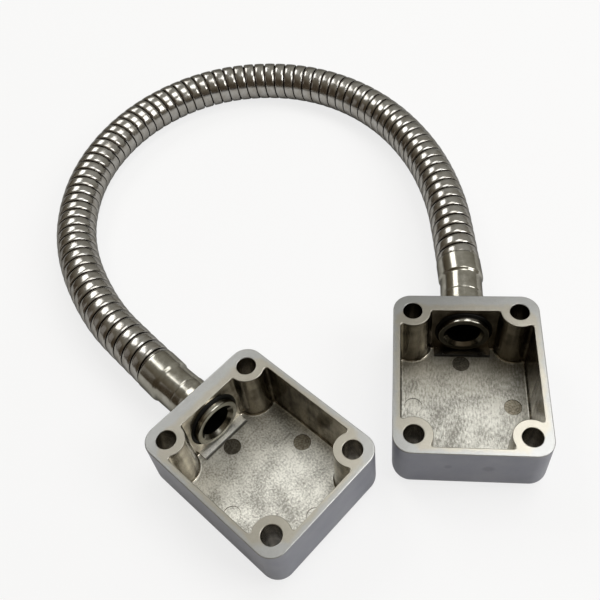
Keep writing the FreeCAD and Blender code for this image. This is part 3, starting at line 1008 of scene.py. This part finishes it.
def cast_zinc_floor(name, dark, pale, drawn_out, oil_and_shade):
    """The casting's floor: cold-flow mottle and a rough die surface, dull silver and brown-grey.

    Its colour runs from a dark to a pale one. The lower drawn_out is, the longer its spots are drawn
    out along Y, and the last argument says how strongly the end near the inlet is browned, as painted
    shade under the inlet wall with old oil.
    """
    material, tree, place = patterned_material(name)
    # Grains of about 0.3 mm, spots of about 0.5 mm drawn out along Y, and blotches of about 5 mm
    grain = add(tree, "TexNoise", {"Vector": place, "Scale": 3.0, "Detail": 5.0, "Roughness": 0.8})
    drawn = add(tree, "Mapping", {"Vector": place, "Scale": (1.0, drawn_out, 1.0)})
    spots = add(tree, "TexNoise", {"Vector": drawn, "Scale": 2.0, "Detail": 2.0})
    blotch = add(tree, "TexNoise", {"Vector": place, "Scale": 0.18, "Detail": 4.0})
    fine = add(tree, "Math", {0: grain, 1: spots}, operation="ADD")
    both = add(tree, "Math", {0: fine, 1: blotch}, operation="ADD")
    third = add(tree, "Math", {0: both, 1: 1 / 3}, operation="MULTIPLY")
    tint = add(tree, "ValToRGB", {"Fac": third}, stops=((0.42, dark), (0.58, pale)))
    axes = add(tree, "SeparateXYZ", {"Vector": place})
    along = axes.outputs["Y"]
    # Painted shade under the inlet wall, with old oil: unevenly browner towards the inlet end
    uneven = add(tree, "Math", {0: blotch, 1: 16.0, 2: along}, operation="MULTIPLY_ADD")
    oil_and_painted_shade = add(tree, "MapRange", {"Value": uneven, "From Min": 6.0, "From Max": 21.0, "To Max": oil_and_shade})
    aged_and_shaded = add(tree, "Mix", {0: oil_and_painted_shade, "A": tint, "B": colour("#6f6857")}, data_type="RGBA")
    # Painted shade: a black line of about 0.5 mm along the foot of the ledge, as long as it is
    before_ledge = add(tree, "Math", {0: along, 1: LEDGE_FRONT - 0.05}, operation="SUBTRACT")
    beside = add(tree, "Math", {0: before_ledge}, operation="ABSOLUTE")
    line = add(tree, "MapRange", {"Value": beside, "From Min": 0.2, "From Max": 0.4,
                                  "To Min": 0.8, "To Max": 0.0})
    across = add(tree, "Math", {0: axes.outputs["X"]}, operation="ABSOLUTE")
    reach = add(tree, "MapRange", {"Value": across, "From Min": LEDGE_WIDTH / 2 - 0.2,
                                   "From Max": LEDGE_WIDTH / 2 + 0.2, "To Min": 1.0, "To Max": 0.0})
    ledge_foot_shade = add(tree, "Math", {0: line, 1: reach}, operation="MULTIPLY")
    aged_and_shaded = add(tree, "Mix", {0: ledge_foot_shade, "A": aged_and_shaded.outputs["Result"], "B": colour("#1c1914")},
               data_type="RGBA")
    bump = add(tree, "Bump", {"Height": grain, "Strength": 0.4, "Distance": 0.1 * MM})
    return finished(material, add(tree, "BsdfPrincipled", {
        "Base Color": aged_and_shaded.outputs["Result"], "Metallic": 0.95, "Roughness": 0.47, "Normal": bump}))


def stained_pin_face():
    """Ejector pin's print in the floor: the same zinc, stained dark by the pin's release oil."""
    material, tree, place = patterned_material("oil_stained_zinc")
    # Grains of about 0.5 mm
    grain = add(tree, "TexNoise", {"Vector": place, "Scale": 2.0, "Detail": 4.0})
    tint = add(tree, "ValToRGB", {"Fac": grain}, stops=((0.35, "#615b4f"), (0.65, "#8a8475")))
    # The mark near the inlet is the darker one
    across = add(tree, "SeparateXYZ", {"Vector": place}).outputs["X"]
    kept = add(tree, "MapRange", {"Value": across, "From Min": 3.0, "From Max": 10.0, "To Min": 0.4})
    shade = add(tree, "VectorMath", {0: tint, "Scale": kept}, operation="SCALE")
    bump = add(tree, "Bump", {"Height": grain, "Strength": 0.3, "Distance": 0.1 * MM})
    return finished(material, add(tree, "BsdfPrincipled", {
        "Base Color": shade, "Metallic": 0.9, "Roughness": 0.4, "Normal": bump}))


def ledge_front_shade():
    """Painted shade on the front face of the ledge: zinc coloured black-brown and dull."""
    material, tree = new_material("painted_shade_on_zinc")
    return finished(material, add(tree, "BsdfPrincipled", {
        "Base Color": colour("#1f1c17"), "Metallic": 0.3, "Roughness": 0.6}))


def black_rubber():
    """Moulded nitrile rubber: black, dull, with a fine grain of about 0.3 mm."""
    material, tree, place = patterned_material("black_nitrile_rubber")
    grain = add(tree, "TexNoise", {"Vector": place, "Scale": 3.0, "Detail": 3.0})
    tint = add(tree, "ValToRGB", {"Fac": grain}, stops=((0.3, "#0a0a09"), (0.7, "#121210")))
    bump = add(tree, "Bump", {"Height": grain, "Strength": 0.2, "Distance": 0.1 * MM})
    return finished(material, add(tree, "BsdfPrincipled", {
        "Base Color": tint, "Roughness": 0.6, "Specular IOR Level": 0.2, "Normal": bump}))


def white_paper():
    """Matt white paper under the object; the camera sees it lifted towards white, and metal a little."""
    material, tree = new_material("matt_white_paper")
    paper = add(tree, "BsdfDiffuse", {"Color": colour("#e8e8e8")})
    glow = add(tree, "Emission", {"Color": (1, 1, 1, 1), "Strength": 1.0})
    path = add(tree, "LightPath")
    mirrored = add(tree, "Math", {0: path.outputs["Is Glossy Ray"], 1: PAPER_MIRRORED},
                   operation="MULTIPLY")
    share = add(tree, "Math", {0: path.outputs["Is Camera Ray"], 1: PAPER_SEEN, 2: mirrored},
                operation="MULTIPLY_ADD")
    return finished(material, add(tree, "MixShader", {0: share, 1: paper, 2: glow}))


# Surroundings

def make_floor():
    """Pale sheet under the object, a hair below the table plane."""
    corners = np.array([(-1, -1), (1, -1), (1, 1), (-1, 1)]) * PAPER_REACH
    floor = new_object("paper", np.column_stack([corners, np.full(4, -PAPER_DROP)]), [(0, 1, 2, 3)])
    floor.data.materials.append(white_paper())


def stand(name, data, right, up, back, place):
    """Lamp or camera at a place in mm. It looks away from back, with right and up beside it."""
    axes = np.eye(4)
    axes[:3, :3] = np.stack([right, up, back], axis=1)
    axes[:3, 3] = place * MM
    holder = bpy.data.objects.new(name, data)
    holder.matrix_world = Matrix(axes.tolist())
    bpy.context.scene.collection.objects.link(holder)
    return holder


def make_lamp(name, bearing, height, size, level, roll=0.0):
    """Rectangular soft lamp 1 m from the loop's middle, at a bearing from +Y and a height in degrees.

    The size is in millimetres, and the roll turns the lamp about its beam, in degrees. Its power is
    pi times its area in square metres times the level that a mirror would show.
    """
    lamp = bpy.data.lights.new(name, "AREA")
    lamp.shape = "RECTANGLE"
    lamp.size, lamp.size_y = size[0] * MM, size[1] * MM
    lamp.energy = math.pi * lamp.size * lamp.size_y * level
    bearing, height, roll = math.radians(bearing), math.radians(height), math.radians(roll)
    back = np.array([math.sin(bearing) * math.cos(height), math.cos(bearing) * math.cos(height),
                     math.sin(height)])
    level_side = np.cross(UP, back)
    level_side /= np.linalg.norm(level_side)
    right = math.cos(roll) * level_side + math.sin(roll) * np.cross(back, level_side)
    stand(name, lamp, right, np.cross(back, right), back, LOOP_MIDDLE + LAMP_DISTANCE * back)


def light_scene():
    """Room that is pale up to the right and dim to the left and in front, with four lamps."""
    world = bpy.data.worlds.new("room")
    world.use_nodes = True
    tree = world.node_tree
    # The room's shade follows the direction's share of its bright side
    direction = add(tree, "TexCoord").outputs["Generated"]
    share = add(tree, "VectorMath", {0: direction, 1: BRIGHT_SIDE}, operation="DOT_PRODUCT")
    shade = add(tree, "ValToRGB", {"Fac": share.outputs["Value"]}, stops=(
        (0.0, "#5b5042"), (0.3, "#888071"), (0.6, "#99958b"), (0.8, "#b3b1a9"), (1.0, "#c3c1ba")))
    # The camera itself sees a pale backdrop in its place
    path = add(tree, "LightPath")
    seen = add(tree, "Mix", {0: path.outputs["Is Camera Ray"], "A": shade, "B": colour("#f9f9f9")},
               data_type="RGBA")
    tree.links.new(seen.outputs["Result"], tree.nodes["Background"].inputs["Color"])
    bpy.context.scene.world = world
    make_lamp("left_strip", -38, 45.5, (540, 330), 3.9, 45)
    make_lamp("top_panel", 56, 70, (590, 430), 3.6, 118)
    make_lamp("right_panel", 102, 40, (480, 430), 5.3)
    make_lamp("left_wall", -96, 20, (300, 560), 0.32)


def make_camera():
    """Camera at the photograph's place, heading, dip and roll."""
    heading, dip, roll = CAMERA_HEADING, CAMERA_DIP, CAMERA_ROLL
    ahead = np.array([-math.sin(heading), math.cos(heading), 0.0])
    level = np.array([math.cos(heading), math.sin(heading), 0.0])
    forward = math.cos(dip) * ahead - math.sin(dip) * UP
    raised = math.sin(dip) * ahead + math.cos(dip) * UP
    right = math.cos(roll) * level + math.sin(roll) * raised
    up = -math.sin(roll) * level + math.cos(roll) * raised
    camera = bpy.data.cameras.new("camera")
    camera.lens = FOCAL_LENGTH
    camera.sensor_width = 36
    camera.clip_start = 0.01
    bpy.context.scene.camera = stand("camera", camera, right, up, -forward, CAMERA_PLACE)
    bpy.context.scene.view_settings.view_transform = "Standard"


make_camera()
light_scene()
make_floor()
make_hose(stainless_strip())
make_ferrule("a", LEAN_A, polished_nickel("polished_nickel_plate", 1.0))
make_ferrule("b", LEAN_B, polished_nickel("oily_nickel_plate", 0.35))
rubber = black_rubber()
make_washer("a", rubber)
make_washer("b", rubber)
pin_face = stained_pin_face()
ledge_front_dark = ledge_front_shade()
casting = casting_mesh()
# Box A's ledge, top and front, has a pale copy of the floor: painted light on a step that the collar
# shades
make_box("a", casting, LEDGE_EDGE, silver_paint("satin_silver_enamel", ()),
         bare_zinc_wall("bare_die_cast_zinc", "#564f44", "#c2bbac", 0.0),
         cast_zinc_floor("rough_die_cast_zinc", "#94928b", "#e9e8e0", 0.8, 0.4),
         faced_rim("belt_faced_zinc_rim", 0.7, 1.0), pin_face,
         cast_zinc_floor("pale_die_cast_zinc_painted_light", "#d0cfc7", "#fbfaf4", 0.8, 0.0))
# Box B's ledge top takes the walls' dark brown, a painted reflection of the dark inlet wall above it
make_box("b", casting, WALL, silver_paint("satin_silver_enamel_stained", WALL_STAINS),
         # Box B's wall, floor and rim are darker copies of box A's, as painted shade
         bare_zinc_wall("oily_shaded_die_cast_zinc", "#494339", "#afa89a", 0.6),
         cast_zinc_floor("oily_shaded_rough_zinc", "#807e77", "#d3d2ca", 0.4, 0.7),
         faced_rim("belt_faced_zinc_rim_shaded", 0.6, 0.95), pin_face, ledge_front_dark)
